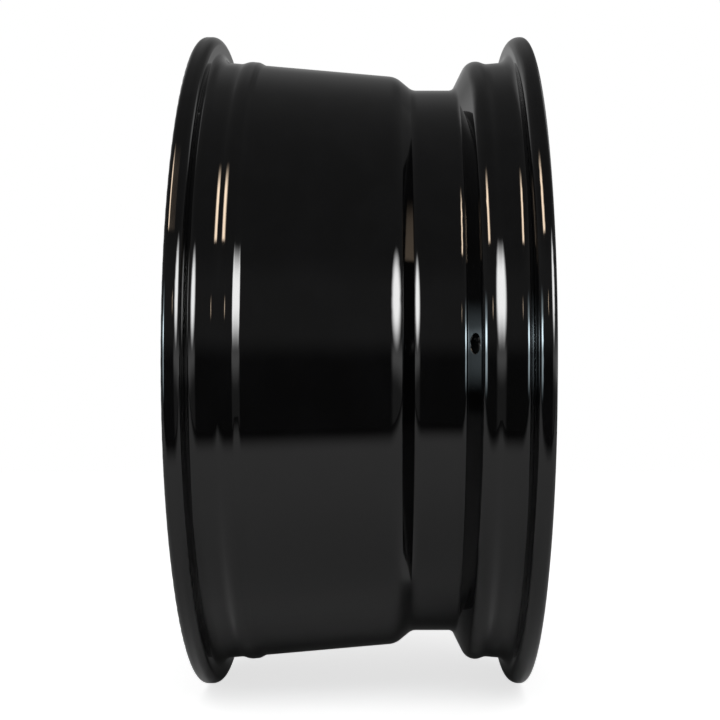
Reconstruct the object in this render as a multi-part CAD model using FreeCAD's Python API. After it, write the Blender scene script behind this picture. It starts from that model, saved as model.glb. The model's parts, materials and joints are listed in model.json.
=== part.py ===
import FreeCAD, Part
import math
import os

# One-piece cast car wheel, 17 x 8 J, in millimetres.
# The axle is the Y axis and the origin is the middle of the rim on the axle.
# The outboard face looks along -Y. A station is a distance from the middle, outboard positive.

# Flanges and bead seats, the same at both edges but for the flange's rounding
RIM_DIAMETER = 436.6
RIM_WIDTH = 203.2
SEAT_ANGLE = 5.0
FLANGE_HEIGHT = 17.3
FLANGE_WIDTH = 12.2
FLANGE_ROUND_INBOARD = 5.5
FLANGE_ROUND_OUTBOARD = 7.8
FLANGE_WALL = 7.0
SEAT_CORNER_ROUND = 7.0
LIP_EDGE_ROUND = 3.6
LIP_DEPTH = 8.0
LIP_INNER_ROUND = 1.5
LIP_FOOT_ROUND = 3.0

# Safety humps, each a ridge on the seat's inner edge
# The inboard one has a narrow top and a step down to the barrel.
HUMP_FROM_FLANGE = 20.8
HUMP_HEIGHT = 2.2
HUMP_ANGLE = 20.0
HUMP_FOOT_ROUND = 9.0
HUMP_ROUND_INBOARD = 11.0
HUMP_ROUND_OUTBOARD = 9.0
HUMP_TOP_WIDTH = 6.3
HUMP_TOP_ANGLE = 5.5
HUMP_STEP_ANGLE = 29.0
HUMP_STEP_ROUND = 4.0

# Barrel and drop centre, both given by their depth under the bead seats
BARREL_DROP = 8.4
BARREL_ANGLE = 4.9
BARREL_WALL = 5.5
WELL_DEPTH = 19.8
WELL_WIDTH = 29.3
WELL_FROM_FLANGE = 38.2
WELL_WALL = 6.0
WELL_INBOARD_ANGLE = 38.8
WELL_OUTBOARD_ANGLE = 63.5
WELL_SHOULDER_ROUND = 15.0
WELL_INBOARD_ROUND = 8.3
WELL_OUTBOARD_ROUND = 4.9
SEAT_WALL = 7.5
RIM_INSIDE_ROUND = 2.0

# Valve hole, square to the well's outboard wall
VALVE_DIAMETER = 11.5
VALVE_UP_WALL = 10.4
VALVE_EDGE = 0.7
VALVE_SPOT_DIAMETER = 20.0
VALVE_SPOT_DEPTH = 0.5

# Spokes
SPOKES = 10
SPOKE_WIDTH_HUB = 22.0
SPOKE_WIDTH_RIM = 20.0
SPOKE_DEPTH = 30.0
SPOKE_DRAFT = 4.0
SPOKE_EDGE_ROUND = 2.5
FACE_RECESS = 9.8
FACE_ANGLE = 10.0
WINDOW_START_RADIUS = 86.0
WINDOW_HUB_ROUND = 12.0
WINDOW_RIM_ROUND = 16.0
WINDOW_BITE = 1.0
RIM_BITE = 2.5

# Hollow behind each spoke
HOLLOW_FROM_HUB = 14.0
HOLLOW_TO_RIM = 25.0
HOLLOW_WIDTH = 13.0
HOLLOW_DRAFT = 3.0
FACE_SKIN = 9.0

# Hub
OFFSET = 35.0
PAD_MARGIN = 16.85
PAD_SIDE_ANGLE = 70.0
PAD_EDGE_ROUND = 2.0
HUB_ROUND = 10.0
BORE_DIAMETER = 73.1
BORE_CHAMFER = 1.0
CAP_HOLE_DIAMETER = 60.0
CAP_HOLE_LENGTH = 6.6
CAP_SEAT_WIDTH = 4.0
CAP_SEAT_DEPTH = 4.0

# Wheel nut holes and the hollows between them
NUTS = 5
NUT_CIRCLE = 114.3
NUT_HOLE_DIAMETER = 14.5
NUT_HOLE_LENGTH = 10.0
NUT_SEAT_ANGLE = 60.0
NUT_POCKET_DIAMETER = 28.0
PAD_HOLLOW_WIDTH = 20.0
PAD_HOLLOW_DEPTH = 12.0
PAD_HOLLOW_SPAN = 18.0

# How far a cut runs past the face that it opens, the share of a side that roundings may take,
# and how close an edge lies to a face to count as on it
OVERRUN = 1.0
ROUNDING_SHARE = 0.98
EDGE_MATCH = 0.01

ORIGIN = FreeCAD.Vector(0, 0, 0)
AXLE = FreeCAD.Vector(0, 1, 0)
OUTBOARD = FreeCAD.Vector(0, -1, 0)
VALVE_SIDE = 180.0

seat_radius = RIM_DIAMETER / 2
flange_radius = seat_radius + FLANGE_HEIGHT
half_width = RIM_WIDTH / 2
lip_station = half_width + FLANGE_WIDTH
flange_back = half_width + FLANGE_WALL
lip_root = flange_radius - LIP_DEPTH
lip_foot = lip_root - (lip_station - flange_back)
hump_station = half_width - HUMP_FROM_FLANGE
well_radius = seat_radius - WELL_DEPTH
well_outboard_end = half_width - WELL_FROM_FLANGE
well_inboard_end = well_outboard_end - WELL_WIDTH
face_station = lip_station - FACE_RECESS
pad_radius = NUT_CIRCLE / 2 + PAD_MARGIN
core_radius = CAP_HOLE_DIAMETER / 4


def line_at(station, radius, angle):
    """A straight line of the section: a point on it, and its angle to the axle."""
    return station, radius, math.radians(angle)


def moved_in(line, wall):
    """The same line moved a wall's thickness towards the axle."""
    station, radius, angle = line
    return station + wall * math.sin(angle), radius - wall * math.cos(angle), angle


def radius_on(line, station):
    """Radius of a section line at a station."""
    return line[1] + (station - line[0]) * math.tan(line[2])


def station_on(line, radius):
    """Station of a section line at a radius."""
    return line[0] + (radius - line[1]) / math.tan(line[2])


def crossing(first, second):
    """Station and radius where two section lines cross."""
    slope_gap = math.tan(first[2]) - math.tan(second[2])
    station = first[0] + (radius_on(second, first[0]) - first[1]) / slope_gap
    return station, radius_on(first, station)


def rounded_outline(corners, place):
    """A closed wire through corners (x, y, rounding), each rounding kept within its sides."""
    points = [FreeCAD.Vector(x, y, 0) for x, y, rounding in corners]
    count = len(points)
    ahead = [(points[(i + 1) % count] - points[i]).normalize() for i in range(count)]
    half_angles = [(-ahead[i - 1]).getAngle(ahead[i]) / 2 for i in range(count)]
    reach = [corners[i][2] / math.tan(half_angles[i]) for i in range(count)]
    share = []
    for i in range(count):
        side = (points[(i + 1) % count] - points[i]).Length
        wanted = reach[i] + reach[(i + 1) % count]
        share.append(1.0 if wanted <= ROUNDING_SHARE * side else ROUNDING_SHARE * side / wanted)
    length = [reach[i] * min(share[i - 1], share[i]) for i in range(count)]
    edges = []
    for i in range(count):
        start = points[i] - ahead[i - 1] * length[i]
        finish = points[i] + ahead[i] * length[i]
        if length[i] > 0:
            inward = (ahead[i] - ahead[i - 1]).normalize()
            drop = length[i] * (1 - math.sin(half_angles[i])) / math.cos(half_angles[i])
            edges.append(Part.Arc(place(start), place(points[i] + inward * drop), place(finish)).toShape())
        side_end = points[(i + 1) % count] - ahead[i] * length[(i + 1) % count]
        edges.append(Part.LineSegment(place(finish), place(side_end)).toShape())
    return Part.Wire(edges)


def on_section(point):
    """A section point (station, radius) put in the plane of X and Y."""
    return FreeCAD.Vector(point.y, -point.x, 0)


def turned(corners):
    """A solid turned round the axle from section corners (station, radius, rounding)."""
    return Part.Face(rounded_outline(corners, on_section)).revolve(ORIGIN, AXLE, 360)


def around(shape, count, first):
    """Copies of a shape spaced evenly round the axle, from a first angle."""
    copies = []
    for i in range(count):
        copy = shape.copy()
        copy.rotate(ORIGIN, AXLE, first + 360.0 * i / count)
        copies.append(copy)
    return copies


# Lines of the rim's section on the tyre side, from inboard to outboard
seat_inboard = line_at(-half_width, seat_radius, -SEAT_ANGLE)
seat_outboard = line_at(half_width, seat_radius, SEAT_ANGLE)
hump_radius = radius_on(seat_outboard, hump_station) + HUMP_HEIGHT
hump_rise_inboard = line_at(-hump_station, hump_radius, HUMP_ANGLE)
hump_top_inboard = line_at(-hump_station, hump_radius, -HUMP_TOP_ANGLE)
hump_top_end = -hump_station + HUMP_TOP_WIDTH
hump_step_inboard = line_at(hump_top_end, radius_on(hump_top_inboard, hump_top_end), -HUMP_STEP_ANGLE)
hump_outboard = line_at(hump_station, hump_radius, -HUMP_ANGLE)
barrel = line_at(0, seat_radius - BARREL_DROP, -BARREL_ANGLE)
well_inboard = line_at(well_inboard_end, well_radius, -WELL_INBOARD_ANGLE)
well_floor = line_at(well_inboard_end, well_radius, 0)
well_outboard = line_at(well_outboard_end, well_radius, WELL_OUTBOARD_ANGLE)

# The same lines on the brake side, one wall's thickness nearer the axle
barrel_inside = moved_in(barrel, BARREL_WALL)
well_inboard_inside = moved_in(well_inboard, WELL_WALL)
well_floor_inside = moved_in(well_floor, WELL_WALL)
well_outboard_inside = moved_in(well_outboard, WELL_WALL)
seat_inside = moved_in(seat_outboard, SEAT_WALL)


def rim():
    """The turned rim: flanges, bead seats, humps, barrel and drop centre."""
    return turned([
        (-lip_station, lip_root, LIP_INNER_ROUND),
        (-lip_station, flange_radius, LIP_EDGE_ROUND),
        (-half_width, flange_radius, FLANGE_ROUND_INBOARD),
        (-half_width, seat_radius, SEAT_CORNER_ROUND),
        crossing(seat_inboard, hump_rise_inboard) + (HUMP_FOOT_ROUND,),
        (-hump_station, hump_radius, HUMP_ROUND_INBOARD),
        crossing(hump_top_inboard, hump_step_inboard) + (HUMP_STEP_ROUND,),
        crossing(hump_step_inboard, barrel) + (HUMP_STEP_ROUND,),
        crossing(barrel, well_inboard) + (WELL_SHOULDER_ROUND,),
        crossing(well_inboard, well_floor) + (WELL_INBOARD_ROUND,),
        crossing(well_floor, well_outboard) + (WELL_OUTBOARD_ROUND,),
        crossing(well_outboard, hump_outboard) + (HUMP_ROUND_OUTBOARD,),
        crossing(hump_outboard, seat_outboard) + (HUMP_FOOT_ROUND,),
        (half_width, seat_radius, SEAT_CORNER_ROUND),
        (half_width, flange_radius, FLANGE_ROUND_OUTBOARD),
        (lip_station, flange_radius, LIP_EDGE_ROUND),
        (lip_station, lip_root, LIP_INNER_ROUND),
        (flange_back, lip_foot, LIP_FOOT_ROUND),
        (flange_back, radius_on(seat_inside, flange_back), RIM_INSIDE_ROUND),
        crossing(seat_inside, well_outboard_inside) + (WELL_OUTBOARD_ROUND,),
        crossing(well_outboard_inside, well_floor_inside) + (WELL_OUTBOARD_ROUND + WELL_WALL,),
        crossing(well_floor_inside, well_inboard_inside) + (WELL_INBOARD_ROUND + WELL_WALL,),
        crossing(well_inboard_inside, barrel_inside) + (WELL_SHOULDER_ROUND - WELL_WALL,),
        (-flange_back, radius_on(barrel_inside, -flange_back), RIM_INSIDE_ROUND),
        (-flange_back, lip_foot, LIP_FOOT_ROUND),
    ])


# Front and back lines of the spokes, which end inside the rim's wall
face = line_at(face_station, radius_on(seat_inside, face_station), 90 - FACE_ANGLE)
spoke_back = line_at(face[0] - SPOKE_DEPTH, face[1], 90 - FACE_ANGLE)
hub_front = station_on(face, WINDOW_START_RADIUS - HUB_ROUND)
rim_bite = moved_in(seat_inside, -RIM_BITE)
well_bite = moved_in(well_outboard_inside, -RIM_BITE)
pad_side = line_at(OFFSET, pad_radius, 90 - PAD_SIDE_ANGLE)


def spoked_face():
    """The hub and the spokes' plate, before the windows are cut."""
    return turned([
        (hub_front, core_radius, 0),
        (hub_front, radius_on(face, hub_front), HUB_ROUND),
        crossing(face, rim_bite) + (0,),
        crossing(rim_bite, well_bite) + (0,),
        crossing(well_bite, spoke_back) + (0,),
        crossing(spoke_back, pad_side) + (HUB_ROUND,),
        (OFFSET, pad_radius, PAD_EDGE_ROUND),
        (OFFSET, core_radius, 0),
    ])


def window_outline(station):
    """Outline of one window, centred on +X, in the plane at a station."""
    half_pitch = math.pi / SPOKES
    along = FreeCAD.Vector(math.cos(half_pitch), math.sin(half_pitch), 0)
    across = FreeCAD.Vector(math.sin(half_pitch), -math.cos(half_pitch), 0)
    draft = (face_station - station) * math.tan(math.radians(SPOKE_DRAFT))
    end_radius = radius_on(seat_inside, station) + WINDOW_BITE
    hub_end = along * (WINDOW_START_RADIUS + draft) + across * (SPOKE_WIDTH_HUB / 2 + draft)
    rim_end = along * end_radius + across * (SPOKE_WIDTH_RIM / 2 + draft)
    side = (rim_end - hub_end).normalize()
    inward = FreeCAD.Vector(side.y, -side.x, 0)

    # Rounding where a spoke meets the rim
    centre_line = hub_end + inward * WINDOW_RIM_ROUND
    reach = centre_line.dot(side)
    step = math.sqrt(reach ** 2 - centre_line.Length ** 2 + (end_radius - WINDOW_RIM_ROUND) ** 2) - reach
    centre = centre_line + side * step
    on_side = hub_end + side * step
    on_rim = centre * (end_radius / (end_radius - WINDOW_RIM_ROUND))
    rim_corner = centre + ((on_side - centre) + (on_rim - centre)).normalize() * WINDOW_RIM_ROUND

    # Rounding between two spokes at the hub
    inner = FreeCAD.Vector(0, -1, 0)
    half = inner.getAngle(side) / 2
    rounding = min(WINDOW_HUB_ROUND, ROUNDING_SHARE * hub_end.y * math.tan(half))
    length = rounding / math.tan(half)
    hub_start = hub_end + inner * length
    hub_finish = hub_end + side * length
    hub_corner = hub_end + (inner + side).normalize() * (rounding / math.sin(half) - rounding)

    def put(point, mirror=1):
        return FreeCAD.Vector(point.x, -station, mirror * point.y)

    return Part.Wire([
        Part.Arc(put(on_rim, -1), FreeCAD.Vector(end_radius, -station, 0), put(on_rim)).toShape(),
        Part.Arc(put(on_rim), put(rim_corner), put(on_side)).toShape(),
        Part.LineSegment(put(on_side), put(hub_finish)).toShape(),
        Part.Arc(put(hub_finish), put(hub_corner), put(hub_start)).toShape(),
        Part.LineSegment(put(hub_start), put(hub_start, -1)).toShape(),
        Part.Arc(put(hub_start, -1), put(hub_corner, -1), put(hub_finish, -1)).toShape(),
        Part.LineSegment(put(hub_finish, -1), put(on_side, -1)).toShape(),
        Part.Arc(put(on_side, -1), put(rim_corner, -1), put(on_rim, -1)).toShape(),
    ])


def window():
    """One window between two spokes, on the +X side, wider at the front."""
    return Part.makeLoft([window_outline(OFFSET), window_outline(lip_station)], True, True)


def slot_outline(start, end, width, station):
    """A round-ended slot along +X, from one radius to another, in the plane at a station."""
    half = width / 2
    low = [FreeCAD.Vector(start + half, -station, -half), FreeCAD.Vector(end - half, -station, -half)]
    high = [FreeCAD.Vector(end - half, -station, half), FreeCAD.Vector(start + half, -station, half)]
    rim_tip = FreeCAD.Vector(end, -station, 0)
    hub_tip = FreeCAD.Vector(start, -station, 0)
    return Part.Wire([
        Part.LineSegment(low[0], low[1]).toShape(),
        Part.Arc(low[1], rim_tip, high[0]).toShape(),
        Part.LineSegment(high[0], high[1]).toShape(),
        Part.Arc(high[1], hub_tip, low[0]).toShape(),
    ])


def spoke_hollow():
    """The hollow behind a spoke that lies along +X, narrower towards the face."""
    start = WINDOW_START_RADIUS + HOLLOW_FROM_HUB
    end = face[1] - HOLLOW_TO_RIM
    narrowing = (lip_station - OFFSET) * math.tan(math.radians(HOLLOW_DRAFT))
    slot = Part.makeLoft([
        slot_outline(start, end, HOLLOW_WIDTH + narrowing, OFFSET),
        slot_outline(start, end, HOLLOW_WIDTH - narrowing, lip_station),
    ], True, True)
    floor = moved_in(face, -FACE_SKIN)
    behind_face = turned([
        (OFFSET, core_radius, 0),
        (station_on(floor, core_radius), core_radius, 0),
        (station_on(floor, flange_radius), flange_radius, 0),
        (OFFSET, flange_radius, 0),
    ])
    return slot.common(behind_face)


def nut_hole():
    """One wheel nut hole, its cone seat and its pocket, on the +X side."""
    pocket = NUT_POCKET_DIAMETER / 2
    hole = NUT_HOLE_DIAMETER / 2
    seat_length = (pocket - hole) / math.tan(math.radians(NUT_SEAT_ANGLE / 2))
    foot = FreeCAD.Vector(NUT_CIRCLE / 2, -OFFSET, 0)
    seat = foot + OUTBOARD * NUT_HOLE_LENGTH
    mouth = seat + OUTBOARD * seat_length
    return Part.makeCylinder(hole, NUT_HOLE_LENGTH + 2 * OVERRUN, foot - OUTBOARD * OVERRUN, OUTBOARD).fuse([
        Part.makeCone(hole, pocket, seat_length, seat, OUTBOARD),
        Part.makeCylinder(pocket, lip_station, mouth, OUTBOARD),
    ])


def pad_hollow():
    """One hollow in the mounting pad, on the +X side."""
    radius = NUT_CIRCLE / 2
    half = PAD_HOLLOW_WIDTH / 2
    turn = math.radians(PAD_HOLLOW_SPAN / 2)
    tip = turn + half / radius

    def at(distance, angle):
        return FreeCAD.Vector(distance * math.cos(angle), OVERRUN - OFFSET, distance * math.sin(angle))

    outline = Part.Wire([
        Part.Arc(at(radius - half, -turn), at(radius - half, 0), at(radius - half, turn)).toShape(),
        Part.Arc(at(radius - half, turn), at(radius, tip), at(radius + half, turn)).toShape(),
        Part.Arc(at(radius + half, turn), at(radius + half, 0), at(radius + half, -turn)).toShape(),
        Part.Arc(at(radius + half, -turn), at(radius, -tip), at(radius - half, -turn)).toShape(),
    ])
    return Part.Face(outline).extrude(OUTBOARD * (PAD_HOLLOW_DEPTH + OVERRUN))


def centre_bore():
    """The hub's bore from the back, and the cap's hole and seat at the front."""
    bore = BORE_DIAMETER / 2
    cap = CAP_HOLE_DIAMETER / 2
    seat = cap + CAP_SEAT_WIDTH
    seat_station = hub_front - CAP_SEAT_DEPTH
    cap_start = seat_station - CAP_HOLE_LENGTH
    return turned([
        (OFFSET - OVERRUN, 0, 0),
        (OFFSET - OVERRUN, bore + BORE_CHAMFER + OVERRUN, 0),
        (OFFSET + BORE_CHAMFER, bore, 0),
        (cap_start - abs(bore - cap), bore, 0),
        (cap_start, cap, 0),
        (seat_station, cap, 0),
        (seat_station, seat, 0),
        (hub_front + OVERRUN, seat, 0),
        (hub_front + OVERRUN, 0, 0),
    ])


def valve_hole():
    """The valve hole through the well's outboard wall, on the -X side."""
    slope = well_outboard[2]
    station = well_outboard[0] + VALVE_UP_WALL * math.cos(slope)
    radius = well_outboard[1] + VALVE_UP_WALL * math.sin(slope)
    mouth = FreeCAD.Vector(-radius, -station, 0)
    inwards = FreeCAD.Vector(math.cos(slope), -math.sin(slope), 0)
    hole = VALVE_DIAMETER / 2
    back = mouth + inwards * (WELL_WALL - VALVE_SPOT_DEPTH)
    return Part.makeCylinder(hole, 4 * WELL_WALL, mouth - inwards * WELL_WALL, inwards).fuse([
        Part.makeCone(hole + 2 * VALVE_EDGE, hole, 2 * VALVE_EDGE, mouth - inwards * VALVE_EDGE, inwards),
        Part.makeCylinder(VALVE_SPOT_DIAMETER / 2, 2 * WELL_WALL, back, inwards),
    ])


def soft_edges(shape):
    """Rounds the windows' front edges, where the spokes' face meets their sides."""
    edges = []
    for edge in shape.Edges:
        middle = edge.valueAt((edge.FirstParameter + edge.LastParameter) / 2)
        radius = math.hypot(middle.x, middle.z)
        on_face = abs(-middle.y - station_on(face, radius)) < EDGE_MATCH
        if on_face and WINDOW_START_RADIUS - HUB_ROUND / 2 < radius < face[1]:
            edges.append(edge)
    return shape.makeFillet(SPOKE_EDGE_ROUND, edges)


def wheel():
    """The whole casting: windows are counted from the valve, nut holes from the side facing it."""
    plate = spoked_face().cut(around(window(), SPOKES, VALVE_SIDE))
    plate = soft_edges(plate)
    plate = plate.cut(around(spoke_hollow(), SPOKES, VALVE_SIDE + 180.0 / SPOKES))
    plate = plate.cut(around(nut_hole(), NUTS, 0.0) + around(pad_hollow(), NUTS, 180.0 / NUTS))
    return rim().fuse(plate.cut(centre_bore())).cut(valve_hole())


os.makedirs("parts", exist_ok=True)
wheel().exportStep("parts/wheel.step")
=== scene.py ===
"""Looks of a one-piece cast car wheel in gloss black paint, standing on a pale floor in a dim studio.

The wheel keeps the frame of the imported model, in metres: the axle lies along Y, the outboard face looks
along -Y and the valve hole is on the -X side, where the camera stands.
"""

import json
import logging
import math
from dataclasses import dataclass
from enum import Enum

import bpy
import numpy as np
from mathutils import Matrix, Quaternion, Vector
from mathutils.kdtree import KDTree


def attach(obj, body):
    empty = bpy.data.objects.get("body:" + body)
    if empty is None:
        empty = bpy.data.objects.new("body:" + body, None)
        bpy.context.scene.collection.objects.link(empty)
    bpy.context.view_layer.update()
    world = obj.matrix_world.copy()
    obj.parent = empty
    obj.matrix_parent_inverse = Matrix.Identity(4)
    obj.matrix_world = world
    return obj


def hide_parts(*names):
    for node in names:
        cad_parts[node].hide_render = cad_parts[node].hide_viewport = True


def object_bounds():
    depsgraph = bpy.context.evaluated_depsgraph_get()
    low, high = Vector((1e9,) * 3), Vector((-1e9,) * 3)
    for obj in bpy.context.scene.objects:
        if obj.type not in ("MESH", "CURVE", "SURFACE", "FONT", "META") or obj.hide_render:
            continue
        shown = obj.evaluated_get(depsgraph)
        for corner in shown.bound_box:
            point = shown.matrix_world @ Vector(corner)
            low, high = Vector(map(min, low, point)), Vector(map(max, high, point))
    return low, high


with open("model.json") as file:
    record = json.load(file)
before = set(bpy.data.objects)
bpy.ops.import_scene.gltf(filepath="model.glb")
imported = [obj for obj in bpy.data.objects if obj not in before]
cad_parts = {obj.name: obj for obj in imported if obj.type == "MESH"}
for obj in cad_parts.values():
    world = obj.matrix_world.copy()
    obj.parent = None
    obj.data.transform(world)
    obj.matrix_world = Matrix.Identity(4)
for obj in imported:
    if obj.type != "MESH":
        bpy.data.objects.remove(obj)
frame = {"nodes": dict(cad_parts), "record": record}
CAD_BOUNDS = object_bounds()
log = logging.getLogger("wheel_scene")

Colour = tuple[float, float, float]
Point = tuple[float, float, float]
Span = tuple[float, float]
Source = float | Point | bpy.types.NodeSocket

MILLIMETRE = 0.001
RIGHT_ANGLE = 90.0
HALF = 0.5

WHITE: Colour = (1.0, 1.0, 1.0)
WARM: Colour = (1.0, 0.78, 0.58)
BLUE: Colour = (0.76, 0.92, 1.0)
PALE_BLUE: Colour = (0.80, 0.93, 1.0)

ZERO: Point = (0.0, 0.0, 0.0)
UP: Point = (0.0, 0.0, 1.0)
DOWN: Point = (0.0, 0.0, -1.0)
BACK: Point = (1.0, 0.0, 0.0)


class Finish(Enum):
    """The finishes on the casting, by their place in its material list."""

    PAINT = 0
    BARE_METAL = 1


class PanelFace(Enum):
    """The shape of a panel's bright face."""

    OBLONG = "oblong"
    OVAL = "oval"


class PanelReach(Enum):
    """What a panel lights: matt surfaces, or the reflections in glossy ones."""

    GLOSS = "gloss"
    MATT = "matt"


class NodeMaker:
    """Adds shader nodes to a node tree and joins them."""

    def __init__(self, tree: bpy.types.NodeTree) -> None:
        """Keep the tree that the nodes go to.

        Args:
            tree: a material's, light's or world's node tree.
        """
        self.tree = tree

    def add(self, kind: str, **settings: str) -> bpy.types.Node:
        """Add a node.

        Args:
            kind: the node's type name.
            settings: properties to set on it.

        Returns:
            The new node.
        """
        node = self.tree.nodes.new(kind)
        for name, value in settings.items():
            setattr(node, name, value)
        return node

    def join(self, source: bpy.types.NodeSocket, target: bpy.types.NodeSocket) -> None:
        """Link an output to an input."""
        self.tree.links.new(source, target)

    def feed(self, socket: bpy.types.NodeSocket, value: Source) -> None:
        """Set an input from a number, a vector or another node's output.

        Args:
            socket: the input.
            value: what it gets.
        """
        if isinstance(value, bpy.types.NodeSocket):
            self.join(value, socket)
        else:
            socket.default_value = value

    def math(self, operation: str, first: Source, second: Source = 0.0) -> bpy.types.NodeSocket:
        """Work out one number from one or two.

        Args:
            operation: the Math node's operation.
            first: a number or an output socket.
            second: a number or an output socket.

        Returns:
            The result's socket.
        """
        node = self.add("ShaderNodeMath", operation=operation)
        self.feed(node.inputs[0], first)
        self.feed(node.inputs[1], second)
        return node.outputs[0]

    def vector(self, operation: str, first: Source, second: Source = ZERO) -> bpy.types.Node:
        """Work with one or two vectors.

        Args:
            operation: the Vector Math node's operation.
            first: a vector or an output socket.
            second: a vector or an output socket.

        Returns:
            The node, whose outputs are Vector and Value.
        """
        node = self.add("ShaderNodeVectorMath", operation=operation)
        self.feed(node.inputs[0], first)
        self.feed(node.inputs[1], second)
        return node

    def ramp(self, value: Source, span: Span, low: Source = 0.0, high: Source = 1.0) -> bpy.types.NodeSocket:
        """Change smoothly from one number to another.

        Args:
            value: the number that drives the change.
            span: where the change starts and where it ends.
            low: the result up to the start.
            high: the result from the end on.

        Returns:
            The result's socket.
        """
        node = self.add("ShaderNodeMapRange", interpolation_type="SMOOTHSTEP")
        start, end = span
        numbers = {"Value": value, "From Min": start, "From Max": end, "To Min": low, "To Max": high}
        for name, number in numbers.items():
            self.feed(node.inputs[name], number)
        return node.outputs["Result"]

    def noise(self, vector: Source, scale: float, detail: float = 2.0) -> bpy.types.NodeSocket:
        """A soft random pattern from 0 to 1.

        Args:
            vector: the coordinates.
            scale: waves to a metre, about.
            detail: how many finer layers it has.

        Returns:
            The pattern's socket.
        """
        node = self.add("ShaderNodeTexNoise")
        self.feed(node.inputs["Vector"], vector)
        node.inputs["Scale"].default_value = scale
        node.inputs["Detail"].default_value = detail
        return node.outputs["Fac"]

    def blend(self, share: bpy.types.NodeSocket, first: Colour, second: Colour) -> bpy.types.NodeSocket:
        """Mix two colours.

        Args:
            share: how much of the second colour there is.
            first: the colour at a share of 0.
            second: the colour at a share of 1.

        Returns:
            The mixed colour's socket.
        """
        node = self.add("ShaderNodeMix", data_type="RGBA")
        self.join(share, node.inputs["Factor"])
        colour_inputs = [socket for socket in node.inputs if socket.type == "RGBA"]
        for socket, colour in zip(colour_inputs, (first, second)):
            socket.default_value = (*colour, 1.0)
        return next(socket for socket in node.outputs if socket.type == "RGBA")

    def bump(self, height: bpy.types.NodeSocket) -> bpy.types.NodeSocket:
        """Turn heights in metres into a surface normal.

        Args:
            height: the heights' socket.

        Returns:
            The normal's socket.
        """
        node = self.add("ShaderNodeBump")
        node.inputs["Distance"].default_value = 1.0
        self.join(height, node.inputs["Height"])
        return node.outputs["Normal"]

    def wheel_coordinates(self) -> tuple[bpy.types.NodeSocket, ...]:
        """Where a point of the wheel lies.

        Returns:
            Its place, its radius from the axle, and a vector of radius and station for turned rings.
        """
        place = self.add("ShaderNodeTexCoord").outputs["Object"]
        across = self.vector("MULTIPLY", place, (1.0, 0.0, 1.0)).outputs["Vector"]
        radius = self.vector("LENGTH", across).outputs["Value"]
        split = self.add("ShaderNodeSeparateXYZ")
        self.join(place, split.inputs["Vector"])
        ring = self.add("ShaderNodeCombineXYZ")
        self.join(radius, ring.inputs["X"])
        self.join(split.outputs["Y"], ring.inputs["Y"])
        return place, radius, ring.outputs["Vector"]


def start_material(name: str) -> tuple[bpy.types.Material, bpy.types.Node, NodeMaker]:
    """Start a material with nodes.

    Args:
        name: its name.

    Returns:
        The material, its shader, and a maker for the nodes that feed the shader.
    """
    material = bpy.data.materials.new(name)
    material.use_nodes = True
    shader = material.node_tree.nodes["Principled BSDF"]
    return material, shader, NodeMaker(material.node_tree)


@dataclass(frozen=True)
class GlossBlackPaint:
    """Black paint under a clear coat, with faint orange peel and, on the rim, the lathe's rings under it.

    Waves are counted to the metre. Depths and radii are in metres.
    """

    name: str = "gloss_black_paint"
    colour: Colour = (0.0009, 0.0009, 0.0010)
    fleck: Colour = (0.0018, 0.0018, 0.0020)
    fleck_waves: float = 45.0
    fleck_span: Span = (0.35, 0.75)
    base_roughness: float = 0.34
    coat_roughness: float = 0.045
    coat_ior: float = 1.5
    peel_waves: float = 330.0
    peel_depth: float = 0.0000035
    ring_waves: float = 520.0
    ring_depth: float = 0.0000022
    fine_detail: float = 3.0
    rim_span: Span = (0.186, 0.192)

    def build(self) -> bpy.types.Material:
        """Make the material.

        Returns:
            The new material.
        """
        material, shader, make = start_material(self.name)
        place, radius, ring = make.wheel_coordinates()
        flecks = make.ramp(make.noise(place, self.fleck_waves, self.fine_detail), self.fleck_span)
        make.join(make.blend(flecks, self.colour, self.fleck), shader.inputs["Base Color"])
        peel = make.math("MULTIPLY", make.noise(place, self.peel_waves), self.peel_depth)
        rings = make.math("MULTIPLY", make.noise(ring, self.ring_waves, self.fine_detail), self.ring_depth)
        rings_on_rim = make.math("MULTIPLY", rings, make.ramp(radius, self.rim_span))
        normal = make.bump(make.math("ADD", peel, rings_on_rim))
        make.join(normal, shader.inputs["Normal"])
        make.join(normal, shader.inputs["Coat Normal"])
        shader.inputs["Roughness"].default_value = self.base_roughness
        shader.inputs["Specular IOR Level"].default_value = 0.0
        shader.inputs["Coat Weight"].default_value = 1.0
        shader.inputs["Coat Roughness"].default_value = self.coat_roughness
        shader.inputs["Coat IOR"].default_value = self.coat_ior
        return material


@dataclass(frozen=True)
class BareMachinedMetal:
    """Cast aluminium alloy as the lathe and the drill leave it, with fine rings and an uneven sheen.

    Waves are counted to the metre. The depth is in metres.
    """

    name: str = "bare_machined_aluminium"
    colour: Colour = (0.70, 0.705, 0.715)
    dull: Colour = (0.55, 0.555, 0.565)
    sheen_waves: float = 60.0
    sheen_detail: float = 3.0
    sheen_span: Span = (0.7, 1.3)
    ring_waves: float = 2600.0
    ring_depth: float = 0.000006
    ring_span: Span = (0.3, 0.7)
    ring_roughness: Span = (0.42, 0.28)

    def build(self) -> bpy.types.Material:
        """Make the material.

        Returns:
            The new material.
        """
        material, shader, make = start_material(self.name)
        place, _, ring = make.wheel_coordinates()
        rings = make.noise(ring, self.ring_waves)
        patches = make.noise(place, self.sheen_waves, self.sheen_detail)
        sheen = make.ramp(make.math("ADD", rings, patches), self.sheen_span)
        make.join(make.blend(sheen, self.dull, self.colour), shader.inputs["Base Color"])
        make.join(make.ramp(rings, self.ring_span, *self.ring_roughness), shader.inputs["Roughness"])
        normal = make.bump(make.math("MULTIPLY", rings, self.ring_depth))
        make.join(normal, shader.inputs["Normal"])
        shader.inputs["Metallic"].default_value = 1.0
        return material


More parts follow.
